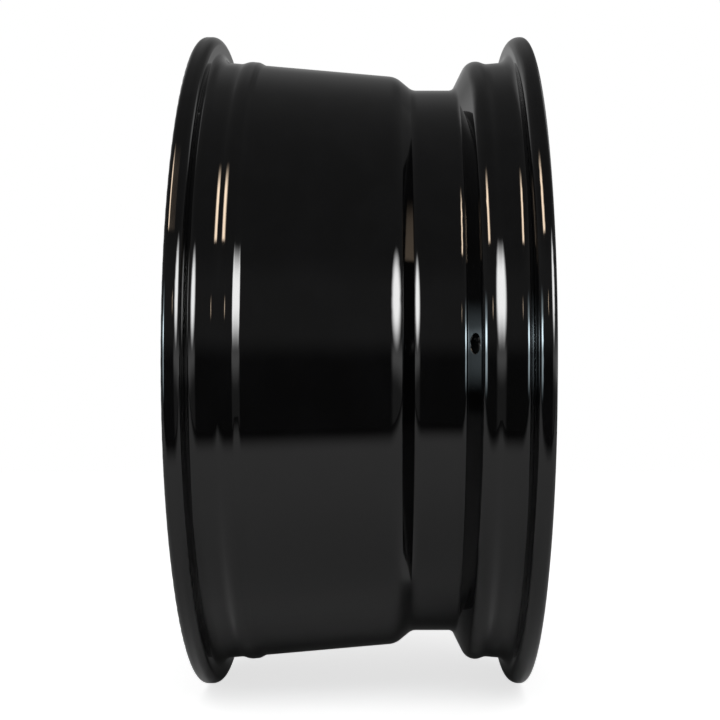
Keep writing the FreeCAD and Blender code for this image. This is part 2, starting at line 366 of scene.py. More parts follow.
@dataclass(frozen=True)
class PaleFloorFinish:
    """A matt pale sheet that shows white to the camera and keeps the wheel's shadow.

    Its colour is darkened over a span at its front and at its back, in metres along X, down to a share of
    its colour: painted shade for the light falling off towards its edges.
    The white is weaker near the wheel, over a span of metres from the frame's Z axis.
    """

    name: str = "pale_floor"
    colour: Colour = (0.62, 0.62, 0.62)
    front_span: Span = (-0.54, -0.43)
    front_share: float = 0.03
    back_span: Span = (1.0, 0.5)
    back_share: float = 0.15
    mottle_waves: float = 6.0
    mottle_span: Span = (0.2, 0.8)
    mottle_share: float = 0.97
    roughness: float = 0.95
    specular: float = 0.1
    white_span: Span = (0.3, 1.0)
    white_near: float = 0.72
    white_far: float = 1.0

    def build(self) -> bpy.types.Material:
        """Make the material.

        Returns:
            The new material.
        """
        material, shader, make = start_material(self.name)
        place = make.add("ShaderNodeTexCoord").outputs["Object"]
        split = make.add("ShaderNodeSeparateXYZ")
        make.join(place, split.inputs["Vector"])
        # Painted shade: the floor's colour is darkened towards its front and back edges, where the light
        # falls off.
        front = make.ramp(split.outputs["X"], self.front_span, self.front_share, 1.0)
        back = make.ramp(split.outputs["X"], self.back_span, self.back_share, 1.0)
        painted_falloff = make.math("MULTIPLY", front, back)
        mottle = make.ramp(make.noise(place, self.mottle_waves), self.mottle_span, self.mottle_share, 1.0)
        tint = make.vector("SCALE", self.colour)
        make.join(make.math("MULTIPLY", painted_falloff, mottle), tint.inputs["Scale"])
        make.join(tint.outputs["Vector"], shader.inputs["Base Color"])
        make.join(self.camera_white(make, place, painted_falloff), shader.inputs["Emission Strength"])
        shader.inputs["Emission Color"].default_value = (*WHITE, 1.0)
        shader.inputs["Roughness"].default_value = self.roughness
        shader.inputs["Specular IOR Level"].default_value = self.specular
        return material

    def camera_white(
        self, make: NodeMaker, place: bpy.types.NodeSocket, painted_falloff: bpy.types.NodeSocket
    ) -> bpy.types.NodeSocket:
        """Work out how much white the floor adds where the camera sees it.

        Args:
            make: adds nodes to the floor's material.
            place: the point of the floor.
            painted_falloff: the share of its colour that the floor keeps there under its painted shade.

        Returns:
            The white's strength.
        """
        flat = make.vector("MULTIPLY", place, (1.0, 1.0, 0.0)).outputs["Vector"]
        away = make.vector("LENGTH", flat).outputs["Value"]
        by_distance = make.ramp(away, self.white_span, self.white_near, self.white_far)
        by_colour = make.math("SUBTRACT", 1.0, make.math("MULTIPLY", painted_falloff, 1.0 - self.white_near))
        white = make.math("MAXIMUM", by_distance, by_colour)
        path = make.add("ShaderNodeLightPath")
        return make.math("MULTIPLY", path.outputs["Is Camera Ray"], white)


@dataclass(frozen=True)
class SectionLine:
    """A straight line of the rim's section: a point on it, and its angle to the axle in degrees."""

    station: float
    radius: float
    angle: float

    def slope(self) -> float:
        """How much the radius grows for each step along the axle."""
        return math.tan(math.radians(self.angle))

    def moved_in(self, wall: float) -> "SectionLine":
        """The same line a wall's thickness nearer the axle."""
        turn = math.radians(self.angle)
        station = self.station + wall * math.sin(turn)
        radius = self.radius - wall * math.cos(turn)
        return SectionLine(station, radius, self.angle)

    def radius_at(self, station: float) -> float:
        """Radius of the line at a station."""
        return self.radius + (station - self.station) * self.slope()

    def crossing(self, other: "SectionLine") -> tuple[float, float]:
        """Station and radius where this line crosses another."""
        gap = other.radius_at(self.station) - self.radius
        station = self.station + gap / (self.slope() - other.slope())
        return station, self.radius_at(station)


@dataclass(frozen=True)
class RimSection:
    """The turned rim's section in millimetres, for the true slope of its surface at any place.

    A station is a distance from the middle of the rim along the axle, outboard positive. The last three
    values are the share of a side that its two roundings may take, the distance between the points that
    stand for the surface, and the fewest points on a rounding.
    """

    rim_diameter: float = 436.6
    rim_width: float = 203.2
    seat_angle: float = 5.0
    seat_wall: float = 7.5
    seat_corner_round: float = 7.0
    flange_height: float = 17.3
    flange_width: float = 12.2
    flange_round_inboard: float = 5.5
    flange_round_outboard: float = 7.8
    flange_wall: float = 7.0
    lip_edge_round: float = 3.6
    lip_depth: float = 8.0
    lip_inner_round: float = 1.5
    lip_foot_round: float = 3.0
    hump_from_flange: float = 20.8
    hump_height: float = 2.2
    hump_angle: float = 20.0
    hump_foot_round: float = 9.0
    hump_round_inboard: float = 11.0
    hump_round_outboard: float = 9.0
    hump_top_width: float = 6.3
    hump_top_angle: float = 5.5
    hump_step_angle: float = 29.0
    hump_step_round: float = 4.0
    barrel_drop: float = 8.4
    barrel_angle: float = 4.9
    barrel_wall: float = 5.5
    well_depth: float = 19.8
    well_width: float = 29.3
    well_from_flange: float = 38.2
    well_wall: float = 6.0
    well_inboard_angle: float = 38.8
    well_outboard_angle: float = 63.5
    well_shoulder_round: float = 15.0
    well_inboard_round: float = 8.3
    well_outboard_round: float = 4.9
    inside_round: float = 2.0
    rounding_share: float = 0.98
    point_spacing: float = 0.25
    fewest_on_arc: int = 8

    def corners(self) -> list[tuple[float, float, float]]:
        """The section's corners, clockwise from the inboard lip.

        Returns:
            Station, radius and rounding of each corner.
        """
        seat = self.rim_diameter / 2
        half = self.rim_width / 2
        top = seat + self.flange_height
        lip = half + self.flange_width
        back = half + self.flange_wall
        root = top - self.lip_depth
        foot = root - (lip - back)
        hump = half - self.hump_from_flange
        floor = seat - self.well_depth
        well_out = half - self.well_from_flange
        seat_in = SectionLine(-half, seat, -self.seat_angle)
        seat_out = SectionLine(half, seat, self.seat_angle)
        peak = seat_out.radius_at(hump) + self.hump_height
        rise = SectionLine(-hump, peak, self.hump_angle)
        crest = SectionLine(-hump, peak, -self.hump_top_angle)
        crest_end = -hump + self.hump_top_width
        drop = SectionLine(crest_end, crest.radius_at(crest_end), -self.hump_step_angle)
        hump_out = SectionLine(hump, peak, -self.hump_angle)
        barrel = SectionLine(0.0, seat - self.barrel_drop, -self.barrel_angle)
        slope = SectionLine(well_out - self.well_width, floor, -self.well_inboard_angle)
        bottom = SectionLine(well_out, floor, 0.0)
        wall = SectionLine(well_out, floor, self.well_outboard_angle)
        seat_inside = seat_out.moved_in(self.seat_wall)
        wall_inside = wall.moved_in(self.well_wall)
        bottom_inside = bottom.moved_in(self.well_wall)
        slope_inside = slope.moved_in(self.well_wall)
        barrel_inside = barrel.moved_in(self.barrel_wall)
        return [
            # Outside, from the inboard lip to the outboard one
            (-lip, root, self.lip_inner_round),
            (-lip, top, self.lip_edge_round),
            (-half, top, self.flange_round_inboard),
            (-half, seat, self.seat_corner_round),
            (*seat_in.crossing(rise), self.hump_foot_round),
            (-hump, peak, self.hump_round_inboard),
            (*crest.crossing(drop), self.hump_step_round),
            (*drop.crossing(barrel), self.hump_step_round),
            (*barrel.crossing(slope), self.well_shoulder_round),
            (*slope.crossing(bottom), self.well_inboard_round),
            (*bottom.crossing(wall), self.well_outboard_round),
            (*wall.crossing(hump_out), self.hump_round_outboard),
            (*hump_out.crossing(seat_out), self.hump_foot_round),
            (half, seat, self.seat_corner_round),
            (half, top, self.flange_round_outboard),
            (lip, top, self.lip_edge_round),
            (lip, root, self.lip_inner_round),
            # Inside, from the outboard lip back to the inboard one
            (back, foot, self.lip_foot_round),
            (back, seat_inside.radius_at(back), self.inside_round),
            (*seat_inside.crossing(wall_inside), self.well_outboard_round),
            (*wall_inside.crossing(bottom_inside), self.well_outboard_round + self.well_wall),
            (*bottom_inside.crossing(slope_inside), self.well_inboard_round + self.well_wall),
            (*slope_inside.crossing(barrel_inside), self.well_shoulder_round - self.well_wall),
            (-back, barrel_inside.radius_at(-back), self.inside_round),
            (-back, foot, self.lip_foot_round),
        ]

    def fitted_reach(self, reach: np.ndarray, lengths: np.ndarray) -> np.ndarray:
        """Shorten roundings that would take more than their share of a side.

        Args:
            reach: how far each corner's rounding reaches along its sides.
            lengths: the sides' lengths, each from its corner to the next.

        Returns:
            The reach that each rounding gets.
        """
        room = self.rounding_share * lengths
        wanted = reach + np.roll(reach, -1)
        allowed = np.where(wanted <= room, 1.0, room / wanted)
        return reach * np.minimum(allowed, np.roll(allowed, 1))

    def arc(
        self, start: np.ndarray, facing: np.ndarray, turn: float, reach: float
    ) -> tuple[np.ndarray, np.ndarray]:
        """Points along one rounded corner.

        Args:
            start: where the rounding starts.
            facing: the way the surface faces there.
            turn: the corner's angle in radians, positive to the left.
            reach: the distance from the rounding's start to the corner.

        Returns:
            The points, and the unit normals beside them.
        """
        radius = math.copysign(reach / math.tan(abs(turn) / 2), -turn)
        count = max(self.fewest_on_arc, int(abs(turn * radius) / self.point_spacing))
        angles = turn * np.linspace(0.0, 1.0, count)
        along = facing[0] * np.cos(angles) - facing[1] * np.sin(angles)
        out = facing[0] * np.sin(angles) + facing[1] * np.cos(angles)
        normals = np.stack([along, out], axis=1)
        return start + radius * (normals - facing), normals

    def surface(self) -> tuple[np.ndarray, np.ndarray]:
        """Points along the section, with the way the surface faces at each.

        Returns:
            Stations and radii of the points, and the unit normals beside them.
        """
        corners = np.array(self.corners())
        points, rounds = corners[:, :2], corners[:, 2]
        sides = np.roll(points, -1, axis=0) - points
        lengths = np.linalg.norm(sides, axis=1)
        ahead = sides / lengths[:, None]
        before = np.roll(ahead, 1, axis=0)
        outward = np.stack([-ahead[:, 1], ahead[:, 0]], axis=1)
        sideways = before[:, 0] * ahead[:, 1] - before[:, 1] * ahead[:, 0]
        turns = np.arctan2(sideways, (before * ahead).sum(axis=1))
        reach = self.fitted_reach(rounds * np.tan(np.abs(turns) / 2), lengths)
        arc_starts = points - before * reach[:, None]
        arc_ends = points + ahead * reach[:, None]
        places, normals = [], []
        for i, turn in enumerate(turns):
            arc_places, arc_normals = self.arc(arc_starts[i], outward[i - 1], turn, reach[i])
            side_end = arc_starts[(i + 1) % len(points)]
            count = max(2, int(np.linalg.norm(side_end - arc_ends[i]) / self.point_spacing))
            places += [arc_places, np.linspace(arc_ends[i], side_end, count)]
            normals += [arc_normals, np.tile(outward[i], (count, 1))]
        return np.concatenate(places), np.concatenate(normals)


def read_mesh(
    items: bpy.types.bpy_prop_collection, name: str, width: int = 1, kind: type = np.float32
) -> np.ndarray:
    """Read one property of all of a mesh's points, edges, corners or faces.

    Args:
        items: the points, edges, corners or faces.
        name: the property's name.
        width: how many numbers each item has.
        kind: the numbers' type.

    Returns:
        The numbers, one item to a row.
    """
    values = np.empty(len(items) * width, kind)
    items.foreach_get(name, values)
    return values if width == 1 else values.reshape(-1, width)


@dataclass
class CastWheel:
    """The whole casting, painted, with bare metal where it is machined after painting.

    Lengths are in metres, except for match_distance_mm. The crease angle is in degrees. The places of the
    hub's pad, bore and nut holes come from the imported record's mounts.
    """

    name: str = "wheel_casting"
    node_name: str = "wheel"
    section: RimSection = RimSection()
    paint: GlossBlackPaint = GlossBlackPaint()
    bare_metal: BareMachinedMetal = BareMachinedMetal()
    merge_distance: float = 0.000002
    crease_angle: float = 46.0
    match_distance_mm: float = 0.2
    longest_edge: float = 0.006
    flat_weight: int = 100
    flatness: float = 0.0002
    flat_facing: float = 0.9
    bore_reach: float = 0.0012
    nut_pocket_radius: float = 0.014
    nut_seat_end: float = 0.0568

    @staticmethod
    def mount(name: str) -> dict:
        """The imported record's mount of that name."""
        return next(mount for mount in frame["record"]["mounts"] if mount["name"] == name)

    def copy_casting(self) -> bpy.types.Object:
        """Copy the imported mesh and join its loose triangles.

        Returns:
            The new object, active.
        """
        source = frame["nodes"][self.node_name]
        bpy.ops.object.select_all(action="DESELECT")
        casting = bpy.data.objects.new(self.name, source.data.copy())
        bpy.context.scene.collection.objects.link(casting)
        casting.data.materials.clear()
        casting.select_set(True)
        bpy.context.view_layer.objects.active = casting
        bpy.ops.object.mode_set(mode="EDIT")
        bpy.ops.mesh.select_all(action="SELECT")
        bpy.ops.mesh.remove_doubles(threshold=self.merge_distance)
        bpy.ops.mesh.customdata_custom_splitnormals_clear()
        bpy.ops.mesh.select_all(action="DESELECT")
        bpy.ops.object.mode_set(mode="OBJECT")
        return casting

    def rim_normals(self, places: np.ndarray) -> tuple[np.ndarray, np.ndarray, np.ndarray]:
        """Find the turned section's true normal beside each vertex.

        Args:
            places: the vertices in metres.

        Returns:
            A normal for each vertex, its distance from the nearest point of the section, and how far it
            stands proud of the surface there, both in millimetres.
        """
        points, normals = self.section.surface()
        tree = KDTree(len(points))
        for index, (station, radius) in enumerate(points):
            tree.insert((station, radius, 0.0), index)
        tree.balance()
        radii = np.hypot(places[:, 0], places[:, 2])
        flat = np.stack([-places[:, 1], radii], axis=1) / MILLIMETRE
        nearest = [tree.find((station, radius, 0.0)) for station, radius in flat]
        index = np.array([hit[1] for hit in nearest])
        distances = np.array([hit[2] for hit in nearest])
        along, out = normals[index, 0], normals[index, 1]
        slopes = np.stack([out * places[:, 0] / radii, -along, out * places[:, 2] / radii], axis=1)
        gaps = ((flat - points[index]) * normals[index]).sum(axis=1)
        return slopes, distances, gaps

    def turned_corners(self, mesh: bpy.types.Mesh) -> tuple[np.ndarray, np.ndarray]:
        """Find the corners of faces that lie on the turned rim.

        Args:
            mesh: the casting's mesh, of triangles.

        Returns:
            True for each such corner, and the section's true normal at every corner.
        """
        corners = read_mesh(mesh.loops, "vertex_index", kind=np.int32)
        faces = np.repeat(read_mesh(mesh.polygons, "normal", 3), 3, axis=0)
        slopes, distances, _ = self.rim_normals(read_mesh(mesh.vertices, "co", 3))
        # Other faces also end on the section, so a turned face has to look the same way too.
        alike = (faces * slopes[corners]).sum(axis=1) > math.cos(math.radians(self.crease_angle))
        return alike & (distances[corners] < self.match_distance_mm), slopes[corners]

    @staticmethod
    def split_edges(mesh: bpy.types.Mesh, chosen: np.ndarray) -> None:
        """Halve edges, and cut the faces into triangles again.

        Args:
            mesh: the active object's mesh.
            chosen: True for each edge to halve.
        """
        bpy.context.tool_settings.mesh_select_mode = (False, True, False)
        mesh.edges.foreach_set("select", chosen)
        bpy.ops.object.mode_set(mode="EDIT")
        bpy.ops.mesh.subdivide(number_cuts=1, ngon=False)
        bpy.ops.mesh.select_all(action="SELECT")
        bpy.ops.mesh.quads_convert_to_tris(quad_method="SHORTEST_DIAGONAL", ngon_method="BEAUTY")
        bpy.ops.mesh.select_all(action="DESELECT")
        bpy.ops.object.mode_set(mode="OBJECT")
        bpy.context.tool_settings.mesh_select_mode = (True, False, False)

    def refine(self, casting: bpy.types.Object) -> None:
        """Split the long edges of the turned rim, and set the new points on its true section.

        Args:
            casting: the wheel's object, active.
        """
        mesh = casting.data
        places = read_mesh(mesh.vertices, "co", 3)
        ends = read_mesh(mesh.edges, "vertices", 2, np.int32)
        lengths = np.linalg.norm(places[ends[:, 0]] - places[ends[:, 1]], axis=1)
        sides = read_mesh(mesh.loops, "edge_index", kind=np.int32)
        # An edge is split only if all its faces lie on the turned rim, so nothing else changes.
        strays = ~self.turned_corners(mesh)[0].reshape(-1, 3).all(axis=1)
        inside = np.bincount(sides, np.repeat(strays, 3), len(mesh.edges)) == 0
        self.split_edges(mesh, inside & (lengths > self.longest_edge))
        refined = read_mesh(mesh.vertices, "co", 3)
        added = refined[len(places):]
        slopes, _, gaps = self.rim_normals(added)
        refined[len(places):] = added - slopes * gaps[:, None] * MILLIMETRE
        mesh.vertices.foreach_set("co", refined.ravel())
        mesh.update()
        log.info("%s: %d points added on the turned rim", self.name, len(added))

    def smooth(self, casting: bpy.types.Object) -> None:
        """Shade the casting smooth, with the true slope of the section all over the turned rim.

        Args:
            casting: the wheel's object, active.
        """
        bpy.ops.object.shade_smooth_by_angle(angle=math.radians(self.crease_angle))
        weighted = casting.modifiers.new("flat_faces_first", "WEIGHTED_NORMAL")
        weighted.weight = self.flat_weight
        weighted.keep_sharp = True
        bpy.ops.object.modifier_apply(modifier=weighted.name)
        mesh = casting.data
        normals = read_mesh(mesh.corner_normals, "vector", 3)
        # On the turned rim the section's own slope replaces the mesh's normals.
        turned, slopes = self.turned_corners(mesh)
        normals[turned] = slopes[turned]
        mesh.normals_split_custom_set(normals.tolist())
        log.info("%s: %d of %d corners on the turned rim", self.name, int(turned.sum()), len(turned))

    def machined_faces(self, mesh: bpy.types.Mesh) -> np.ndarray:
        """Find the faces of the mounting pad, the hub's bore and the nut seats.

        Args:
            mesh: the casting's mesh.

        Returns:
            True for each such face.
        """
        x, y, z = read_mesh(mesh.polygons, "center", 3).T
        facing = read_mesh(mesh.polygons, "normal", 3)[:, 1]
        bolts, bore = self.mount("hub_bolts"), self.mount("hub_bore")
        # Outboard is -Y, so the mounting pad looks along +Y.
        pad_y = bolts["pos_m"][1]
        up_to_pad = y < pad_y + self.flatness
        on_pad = (np.abs(y - pad_y) < self.flatness) & (facing > self.flat_facing)
        bore_radius = bore["dims"]["r_mm"] * MILLIMETRE
        near_bore = np.abs(np.hypot(x, z) - bore_radius) < self.bore_reach
        in_bore = near_bore & up_to_pad & (np.abs(facing) < self.flat_facing)
        machined = on_pad | in_bore
        circle = bolts["dims"]["pcd_mm"] / 2 * MILLIMETRE
        for turn in range(bolts["dims"]["count"]):
            angle = 2 * math.pi * turn / bolts["dims"]["count"]
            away = np.hypot(x - circle * math.cos(angle), z - circle * math.sin(angle))
            in_pocket = away < self.nut_pocket_radius - self.flatness
            machined |= in_pocket & up_to_pad & (y > -self.nut_seat_end)
        return machined

    def dress(self, casting: bpy.types.Object) -> None:
        """Give the casting its paint, and bare metal on its machined faces.

        Args:
            casting: the wheel's object, active.
        """
        finishes = {Finish.PAINT: self.paint, Finish.BARE_METAL: self.bare_metal}
        for finish in Finish:
            casting.data.materials.append(finishes[finish].build())
        machined = self.machined_faces(casting.data)
        faces = casting.data.polygons
        faces.foreach_set("material_index", np.full(len(machined), Finish.PAINT.value, np.int32))
        faces.foreach_set("select", machined)
        bpy.ops.object.mode_set(mode="EDIT")
        casting.active_material_index = Finish.BARE_METAL.value
        bpy.ops.object.material_slot_assign()
        bpy.ops.mesh.select_all(action="DESELECT")
        bpy.ops.object.mode_set(mode="OBJECT")
        log.info("%s: %d of %d faces machined", self.name, int(machined.sum()), len(machined))

    def build(self) -> bpy.types.Object:
        """Make the casting and seat it on its body.

        Returns:
            The finished object.
        """
        casting = self.copy_casting()
        self.refine(casting)
        self.smooth(casting)
        self.dress(casting)
        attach(casting, "root")
        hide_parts(self.node_name)
        return casting


def studio_point(azimuth: float, elevation: float, distance: float) -> Point:
    """A point seen from the wheel's centre, by its direction beside the camera.

    Args:
        azimuth: degrees from the camera, outboard positive.
        elevation: degrees above the axle.
        distance: metres from the centre.

    Returns:
        The point in the wheel's frame.
    """
    turn, rise = math.radians(azimuth), math.radians(elevation)
    level = math.cos(rise) * distance
    return -math.cos(turn) * level, -math.sin(turn) * level, math.sin(rise) * distance


@dataclass(frozen=True)
class SoftPanel:
    """A studio light with soft edges, brighter at one end and narrower at the top if so set.

    An oblong face fades over four shares of its width and height: left, right, bottom and top. An oval
    face has its middle at a share of its height, and fades out over a share of its radius.
    """

    name: str
    centre: Point
    facing: Point
    size: tuple[float, float]
    colour: Colour
    radiance: float
    fade: tuple[float, float, float, float] = (0.1, 0.1, 0.1, 0.1)
    across: Span = (1.0, 1.0)
    taper: float = 0.0
    upward: Point = UP
    face: PanelFace = PanelFace.OBLONG
    middle: float = 0.5
    oval_fade: float = 0.55
    reach: PanelReach = PanelReach.GLOSS

    @classmethod
    def towards_wheel(
        cls, azimuth: float, elevation: float, distance: float, **settings: object
    ) -> "SoftPanel":
        """A panel that stands in some direction and faces the wheel's centre.

        Args:
            azimuth: degrees from the camera, outboard positive.
            elevation: degrees above the axle.
            distance: metres from the centre.
            settings: the panel's other fields.

        Returns:
            The panel.
        """
        centre = studio_point(azimuth, elevation, distance)
        facing = tuple(-value for value in centre)
        return cls(centre=centre, facing=facing, **settings)

    def axes(self) -> tuple[Vector, Vector, Vector]:
        """The panel's directions.

        Returns:
            Its right and up as seen from the wheel's side of it, and the way it faces.
        """
        facing = Vector(self.facing).normalized()
        right = Vector(self.upward).cross(facing).normalized()
        return right, facing.cross(right), facing

    def oval(
        self, make: NodeMaker, along: bpy.types.NodeSocket, rise: bpy.types.NodeSocket
    ) -> bpy.types.NodeSocket:
        """Work out an oval face's brightness.

        Args:
            make: adds nodes to the light's tree.
            along: the place across the panel, from -0.5 to 0.5.
            rise: the place up the panel, from -0.5 to 0.5.

        Returns:
            The brightness, from 0 to 1.
        """
        above = make.math("SUBTRACT", rise, self.middle - HALF)
        upper = make.math("DIVIDE", make.math("MAXIMUM", above, 0.0), 1.0 - self.middle)
        lower = make.math("DIVIDE", make.math("MINIMUM", above, 0.0), self.middle)
        sideways = make.math("DIVIDE", along, HALF)
        square = 0.0
        for part in (upper, lower, sideways):
            square = make.math("ADD", square, make.math("MULTIPLY", part, part))
        return make.ramp(make.math("SQRT", square), (1.0, 1.0 - self.oval_fade))

    def oblong(
        self, make: NodeMaker, along: bpy.types.NodeSocket, rise: bpy.types.NodeSocket
    ) -> bpy.types.NodeSocket:
        """Work out an oblong face's brightness.

        Args:
            make: adds nodes to the light's tree.
            along: the place across the panel, from -0.5 to 0.5.
            rise: the place up the panel, from -0.5 to 0.5.

        Returns:
            The brightness, from 0 to 1.
        """
        left, right, bottom, top = self.fade
        brightness = make.ramp(along, (-HALF, left - HALF))
        others = (
            make.ramp(along, (HALF, HALF - right)),
            make.ramp(rise, (-HALF, bottom - HALF)),
            make.ramp(rise, (HALF, HALF - top)),
        )
        for edge in others:
            brightness = make.math("MULTIPLY", brightness, edge)
        return brightness

    def brightness(self, make: NodeMaker, right: Vector, up: Vector) -> bpy.types.NodeSocket:
        """Work out how bright the panel's face is at each place.

        Args:
            make: adds nodes to the light's tree.
            right: the panel's own right.
            up: the panel's own up.

        Returns:
            The brightness as a share of the panel's radiance.
        """
        width, height = self.size
        # Places across and up the panel run from -0.5 to 0.5.
        place = make.add("ShaderNodeNewGeometry").outputs["Position"]
        out = make.vector("SUBTRACT", place, self.centre).outputs["Vector"]
        rise = make.vector("DOT_PRODUCT", out, tuple(up / height)).outputs["Value"]
        along = make.vector("DOT_PRODUCT", out, tuple(right / width)).outputs["Value"]
        narrowing = make.math("MULTIPLY", make.math("ADD", rise, HALF), self.taper)
        along = make.math("DIVIDE", along, make.math("SUBTRACT", 1.0, narrowing))
        level = make.ramp(along, (-HALF, HALF), *self.across)
        shape = self.oval if self.face is PanelFace.OVAL else self.oblong
        return make.math("MULTIPLY", level, shape(make, along, rise))

    def build(self) -> bpy.types.Object:
        """Make the light.

        Returns:
            The light object.
        """
        right, up, facing = self.axes()
        data = bpy.data.lights.new(self.name, "AREA")
        data.shape = "RECTANGLE"
        data.size, data.size_y = self.size
        data.color = self.colour
        data.energy = self.radiance * math.pi * self.size[0] * self.size[1]
        data.use_nodes = True
        make = NodeMaker(data.node_tree)
        emission = next(node for node in data.node_tree.nodes if node.type == "EMISSION")
        make.join(self.brightness(make, right, up), emission.inputs["Strength"])
        light = bpy.data.objects.new(self.name, data)
        bpy.context.scene.collection.objects.link(light)
        turn = Matrix((right, up, facing)).transposed() @ Matrix.Rotation(math.pi, 3, "Y")
        light.matrix_world = Matrix.Translation(self.centre) @ turn.to_4x4()
        light.visible_camera = False
        light.visible_diffuse = self.reach is PanelReach.MATT
        light.visible_glossy = self.reach is PanelReach.GLOSS
        return light


@dataclass(frozen=True)
class DimRoom:
    """The room around the wheel: white to the camera, an even fill to matt surfaces, dim to glossy ones.

    A span is where a level changes, as a start and an end along one axis of a reflection's direction:
    back, inboard or up. A share multiplies the room's level there.
    """

    name: str = "dim_studio"
    fill_level: float = 0.4
    room_level: float = 0.20
    low_level: float = 0.045
    low_up_span: Span = (-0.07, 0.13)
    side_levels: Span = (0.22, 1.8)
    side_up_span: Span = (-0.20, 0.05)
    side_inboard_span: Span = (-0.5, -0.2)
    ceiling_share: float = 0.70
    ceiling_up_span: Span = (0.38, 0.62)
    front_share: float = 0.92
    rear_shares: Span = (0.72, 1.3)
    rear_inboard_span: Span = (-0.26, 0.02)
    rear_back_span: Span = (0.4, 0.8)
    corner_share: float = 2.9
    corner_inboard_span: Span = (0.25, 0.55)
    corner_back_span: Span = (0.45, 0.75)
    corner_up_span: Span = (0.2, 0.4)
    backdrop_levels: Span = (0.24, 0.41)
    backdrop_inboard_span: Span = (-0.2, 0.0)
    backdrop_back_span: Span = (0.84, 0.99)

    def glossy_level(self, make: NodeMaker) -> bpy.types.NodeSocket:
        """Work out how bright the room is in a reflection.

        Args:
            make: adds nodes to the world's tree.

        Returns:
            The level's socket.
        """
        split = make.add("ShaderNodeSeparateXYZ")
        make.join(make.add("ShaderNodeTexCoord").outputs["Generated"], split.inputs["Vector"])
        back, inboard, up = (split.outputs[axis] for axis in "XYZ")
        # Low down the room is dark, but for the outboard side, which brightens upward.
        side = make.ramp(up, self.side_up_span, *self.side_levels)
        low = make.ramp(inboard, self.side_inboard_span, side, self.low_level)
        room = make.ramp(up, self.low_up_span, low, self.room_level)
        # It is dimmer overhead and uneven behind the wheel, brightest in the upper inboard corner.
        ceiling = make.ramp(up, self.ceiling_up_span, 1.0, self.ceiling_share)
        rear = make.ramp(inboard, self.rear_inboard_span, *self.rear_shares)
        rear = make.ramp(back, self.rear_back_span, self.front_share, rear)
        corner = make.ramp(inboard, self.corner_inboard_span, 1.0, self.corner_share)
        corner = make.ramp(back, self.corner_back_span, 1.0, corner)
        corner = make.ramp(up, self.corner_up_span, 1.0, corner)
        for share in (ceiling, rear, corner):
            room = make.math("MULTIPLY", room, share)
        # Straight behind the wheel is a pale backdrop, which shows along the rim's edges.
        backdrop = make.ramp(inboard, self.backdrop_inboard_span, *self.backdrop_levels)
        backdrop = make.ramp(back, self.backdrop_back_span, 0.0, backdrop)
        return make.math("MAXIMUM", room, backdrop)

    def build(self) -> None:
        """Make the room and give it to the scene."""
        world = bpy.data.worlds.new(self.name)
        bpy.context.scene.world = world
        world.use_nodes = True
        make = NodeMaker(world.node_tree)
        path = make.add("ShaderNodeLightPath")
        shiny = make.math("MAXIMUM", path.outputs["Is Glossy Ray"], path.outputs["Is Transmission Ray"])
        no_to_yes = (0.0, 1.0)
        level = make.ramp(shiny, no_to_yes, self.fill_level, self.glossy_level(make))
        level = make.ramp(path.outputs["Is Camera Ray"], no_to_yes, level, 1.0)
        background = world.node_tree.nodes["Background"]
        make.join(level, background.inputs["Strength"])
        background.inputs["Color"].default_value = (*WHITE, 1.0)


@dataclass(frozen=True)
class SideCamera:
    """A camera at the wheel's side, a little under the axle and as far away as the perspective shows.

    The distance and the step outboard are in metres, the angles in radians, the sensor and the lens in
    millimetres, and the shifts in widths of the picture.
    """

    name: str = "side_camera"
    distance: float = 0.97317
    outboard: float = 0.01445
    tilt: float = math.radians(2.8)
    pitch: float = -0.0075
    sensor_width: float = 36.0
    lens: float = 64.74
    shift_across: float = -0.0340
    shift_up: float = 0.00104
    clip_start: float = 0.01

    def build(self) -> bpy.types.Object:
        """Make the camera and give it to the scene.

        Returns:
            The camera object.
        """
        data = bpy.data.cameras.new(self.name)
        data.sensor_width = self.sensor_width
        data.lens = self.lens
        data.shift_x = self.shift_across
        # The picture is also shifted up as far as the pitch turns it down.
        data.shift_y = self.shift_up - math.tan(self.pitch) * self.lens / self.sensor_width
        data.clip_start = self.clip_start
        camera = bpy.data.objects.new(self.name, data)
        bpy.context.scene.collection.objects.link(camera)
        away = Vector((-math.cos(self.tilt), 0.0, -math.sin(self.tilt)))
        look = (-away).to_track_quat("-Z", "Y") @ Quaternion((1.0, 0.0, 0.0), self.pitch)
        place = away * self.distance + Vector((0.0, -self.outboard, 0.0))
        camera.matrix_world = Matrix.Translation(place) @ look.to_matrix().to_4x4()
        bpy.context.scene.camera = camera
        return camera


